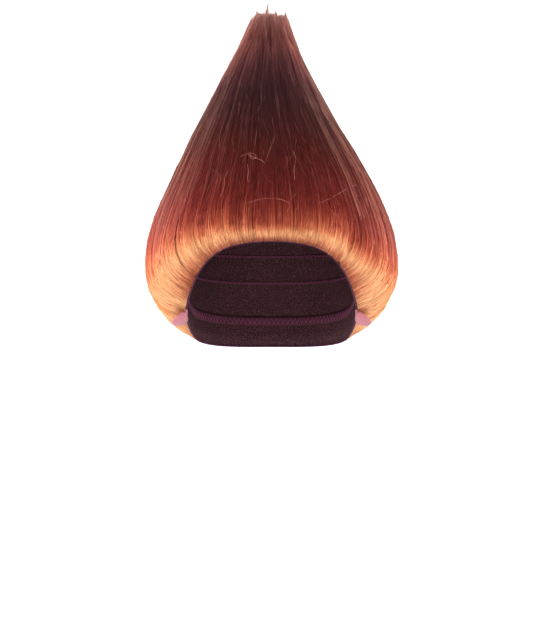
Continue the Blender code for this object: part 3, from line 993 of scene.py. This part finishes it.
stitch_paths = []
for share, width in TAPES:
    for number in range(STITCHES):
        ends = []
        for end in (0, 1):
            turn = 2 * math.pi * (number + end) / STITCHES
            dip = share * np.interp(turn, tape_turns, tape_edge, period=2 * math.pi)
            side = 1 if (number + end) % 2 else -1
            ends.append(tape_point(turn, dip, side * 0.3 * width, TAPE_DEPTH * 0.95))
        stitch_paths.append(ends)
stitch_paths = np.array(stitch_paths)
stitch_count = len(stitch_paths)
stitch_widths = np.full((stitch_count, 2), THREAD)
stitch_tones = np.full((stitch_count, 2), 0.5)
thread, tree, shader = new_material("purple_thread", 0.5, Specular_IOR_Level=0.3)
shader.inputs["Base Color"].default_value = (*linear("7A3A62"), 1)
stitches = spin_fibres(
    "tape_stitches", stitch_paths, stitch_widths, stitch_tones, np.full((stitch_count, 2), 0.5), thread
)
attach(stitches, "root")


# The edge binding
# A narrow elastic, dark purple, folded over the cap's edge and drawn in a little, so its outer face ripples.
BINDING_COLUMNS = 720
BINDING_SIDES = 12
BINDING_RADIUS = 0.0009
RIPPLE = 0.00007
RIPPLES = 250

binding_turns = np.arange(BINDING_COLUMNS) * 2 * math.pi / BINDING_COLUMNS
binding_radii = smooth_ring(binding_ring, 1, binding_turns)
binding_heights = smooth_ring(binding_ring, 2, binding_turns)
binding_rows = []
for row in range(BINDING_SIDES + 1):
    round_turn = 2 * math.pi * row / BINDING_SIDES
    thick = BINDING_RADIUS + RIPPLE * np.sin(RIPPLES * binding_turns)
    radii = binding_radii + thick * math.cos(round_turn)
    heights = binding_heights + thick * math.sin(round_turn)
    binding_rows.append(
        np.stack([radii * np.sin(binding_turns), -radii * np.cos(binding_turns), heights], axis=-1)
    )
binding = wrapped_grid("binding_elastic", BINDING_COLUMNS, BINDING_SIDES, binding_rows)


def binding_material():
    """Dark purple elastic with fine cross ribs."""
    made, tree, shader = new_material("purple_elastic", 0.65, Specular_IOR_Level=0.2)
    place = add_node(tree, "ShaderNodeTexCoord").outputs["Object"]
    grain = add_node(tree, "ShaderNodeTexNoise", Scale=1400.0, Detail=2.0)
    tree.links.new(place, grain.inputs["Vector"])
    colour = add_node(tree, "ShaderNodeMix", data_type="RGBA")
    tree.links.new(grain.outputs["Fac"], colour.inputs["Factor"])
    colour.inputs["A"].default_value = (*linear("2A0A22"), 1)
    colour.inputs["B"].default_value = (*linear("511B3E"), 1)
    tree.links.new(colour.outputs["Result"], shader.inputs["Base Color"])
    bump(tree, shader, grain.outputs["Fac"], 0.4, 0.0003)
    return made


binding.data.materials.append(binding_material())
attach(binding, "root")
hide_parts("edge_binding")


# The ear tabs
# Two small tabs of brushed mauve cloth under the binding, turned out over the ears.
def tab_material():
    """Brushed cloth, mauve pink with paler fluff."""
    made, tree, shader = new_material("brushed_cloth", 0.9, Specular_IOR_Level=0.1, Sheen_Weight=0.15)
    place = add_node(tree, "ShaderNodeTexCoord").outputs["Object"]
    fluff = add_node(tree, "ShaderNodeTexNoise", Scale=900.0, Detail=5.0, Roughness=0.7)
    tree.links.new(place, fluff.inputs["Vector"])
    colour = add_node(tree, "ShaderNodeMix", data_type="RGBA")
    tree.links.new(fluff.outputs["Fac"], colour.inputs["Factor"])
    colour.inputs["A"].default_value = (*linear("8E4560"), 1)
    colour.inputs["B"].default_value = (*linear("C98688"), 1)
    tree.links.new(colour.outputs["Result"], shader.inputs["Base Color"])
    bump(tree, shader, fluff.outputs["Fac"], 0.7, 0.0005)
    return made


brushed_cloth = tab_material()
TAB_TUCK = 0.0023
TAB_TUCK_REACH = 0.006
for side in ("left", "right"):
    bm = bmesh.new()
    bm.from_mesh(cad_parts[f"ear_tab_{side}"].data)
    bmesh.ops.remove_doubles(bm, verts=bm.verts, dist=1e-5)
    bmesh.ops.subdivide_edges(bm, edges=bm.edges, cuts=2, smooth=0.6, use_grid_fill=True)
    for vert in bm.verts:
        seam = smooth_ring(binding_ring, 2, math.atan2(vert.co.x, -vert.co.y)) - TAB_TUCK
        share = 1 - (seam - vert.co.z) / TAB_TUCK_REACH
        vert.co.z += TAB_TUCK * min(1.0, max(0.0, share)) ** 2
    bmesh.ops.recalc_face_normals(bm, faces=bm.faces)
    mesh = bpy.data.meshes.new(f"brushed_tab_{side}")
    bm.to_mesh(mesh)
    bm.free()
    mesh.shade_smooth()
    tab = bpy.data.objects.new(f"brushed_tab_{side}", mesh)
    bpy.context.scene.collection.objects.link(tab)
    mesh.materials.append(brushed_cloth)
    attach(tab, "root")
    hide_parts(f"ear_tab_{side}")


# The studio
# A pale round floor that curves up into a backdrop on every side, with soft light from the sides and front.
# The camera stands where the photograph's did.
FLOOR_DROP = 0.30
FLOOR_RADIUS = 3.0
SWEEP_RADIUS = 1.2
WALL_HEIGHT = 2.0
CAMERA_DISTANCE = 2.0
CAMERA_HEIGHT = -0.125
CAMERA_SIDE = -0.0045
VIEW_HEIGHT = 0.5756

floor_z = cad_box[0].z - FLOOR_DROP
bm = bmesh.new()
outline = [(0, 0, floor_z), (FLOOR_RADIUS, 0, floor_z)]
for step in range(1, 17):
    bend = math.pi / 2 * step / 16
    rise = SWEEP_RADIUS * (1 - math.cos(bend))
    outline.append((FLOOR_RADIUS + SWEEP_RADIUS * math.sin(bend), 0, floor_z + rise))
outline.append((FLOOR_RADIUS + SWEEP_RADIUS, 0, floor_z + SWEEP_RADIUS + WALL_HEIGHT))
verts = [bm.verts.new(point) for point in outline]
edges = [bm.edges.new(pair) for pair in zip(verts, verts[1:])]
bmesh.ops.spin(bm, geom=verts + edges, axis=(0, 0, 1), cent=(0, 0, 0), steps=96, angle=2 * math.pi)
bmesh.ops.remove_doubles(bm, verts=bm.verts, dist=1e-4)
bmesh.ops.recalc_face_normals(bm, faces=bm.faces)
mesh = bpy.data.meshes.new("studio_sweep")
bm.to_mesh(mesh)
bm.free()
mesh.shade_smooth()
sweep = bpy.data.objects.new("studio_sweep", mesh)
bpy.context.scene.collection.objects.link(sweep)
paper, tree, shader = new_material("white_paper", 0.9, Specular_IOR_Level=0.1)
shader.inputs["Base Color"].default_value = (0.92, 0.92, 0.92, 1)
mesh.materials.append(paper)

world = bpy.data.worlds.new("studio_air")
bpy.context.scene.world = world
world.use_nodes = True
world.node_tree.nodes["Background"].inputs["Color"].default_value = (1, 1, 1, 1)
world.node_tree.nodes["Background"].inputs["Strength"].default_value = 1.05


def softbox(name, place, target, width, height, power):
    """A large soft rectangular light at a place, turned to a target."""
    light = bpy.data.lights.new(name, "AREA")
    light.shape = "RECTANGLE"
    light.size, light.size_y, light.energy = width, height, power
    lamp = bpy.data.objects.new(name, light)
    lamp.location = place
    lamp.visible_camera = False
    lamp.rotation_euler = (Vector(target) - Vector(place)).to_track_quat("-Z", "Y").to_euler()
    bpy.context.scene.collection.objects.link(lamp)


softbox("side_light_left", (-1.5, -0.3, 0.1), (0, 0, -0.03), 0.6, 1.3, 21)
softbox("side_light_right", (1.5, -0.3, 0.1), (0, 0, -0.03), 0.6, 1.3, 14)
softbox("front_light", (0, -2.4, -0.05), (0, 0, -0.05), 1.4, 1.0, 19)
softbox("backdrop_light", (0, 1.4, 1.9), (0, 4.2, 0.3), 2.4, 0.6, 60)

camera_data = bpy.data.cameras.new("photo_camera")
camera_data.sensor_fit = "VERTICAL"
camera_data.sensor_height = 24
camera_data.lens = camera_data.sensor_height * CAMERA_DISTANCE / VIEW_HEIGHT
camera = bpy.data.objects.new("photo_camera", camera_data)
camera.location = (CAMERA_SIDE, -CAMERA_DISTANCE, CAMERA_HEIGHT)
camera.rotation_euler = (math.pi / 2, 0, 0)
bpy.context.scene.collection.objects.link(camera)
bpy.context.scene.camera = camera
bpy.context.scene.view_settings.view_transform = "Standard"
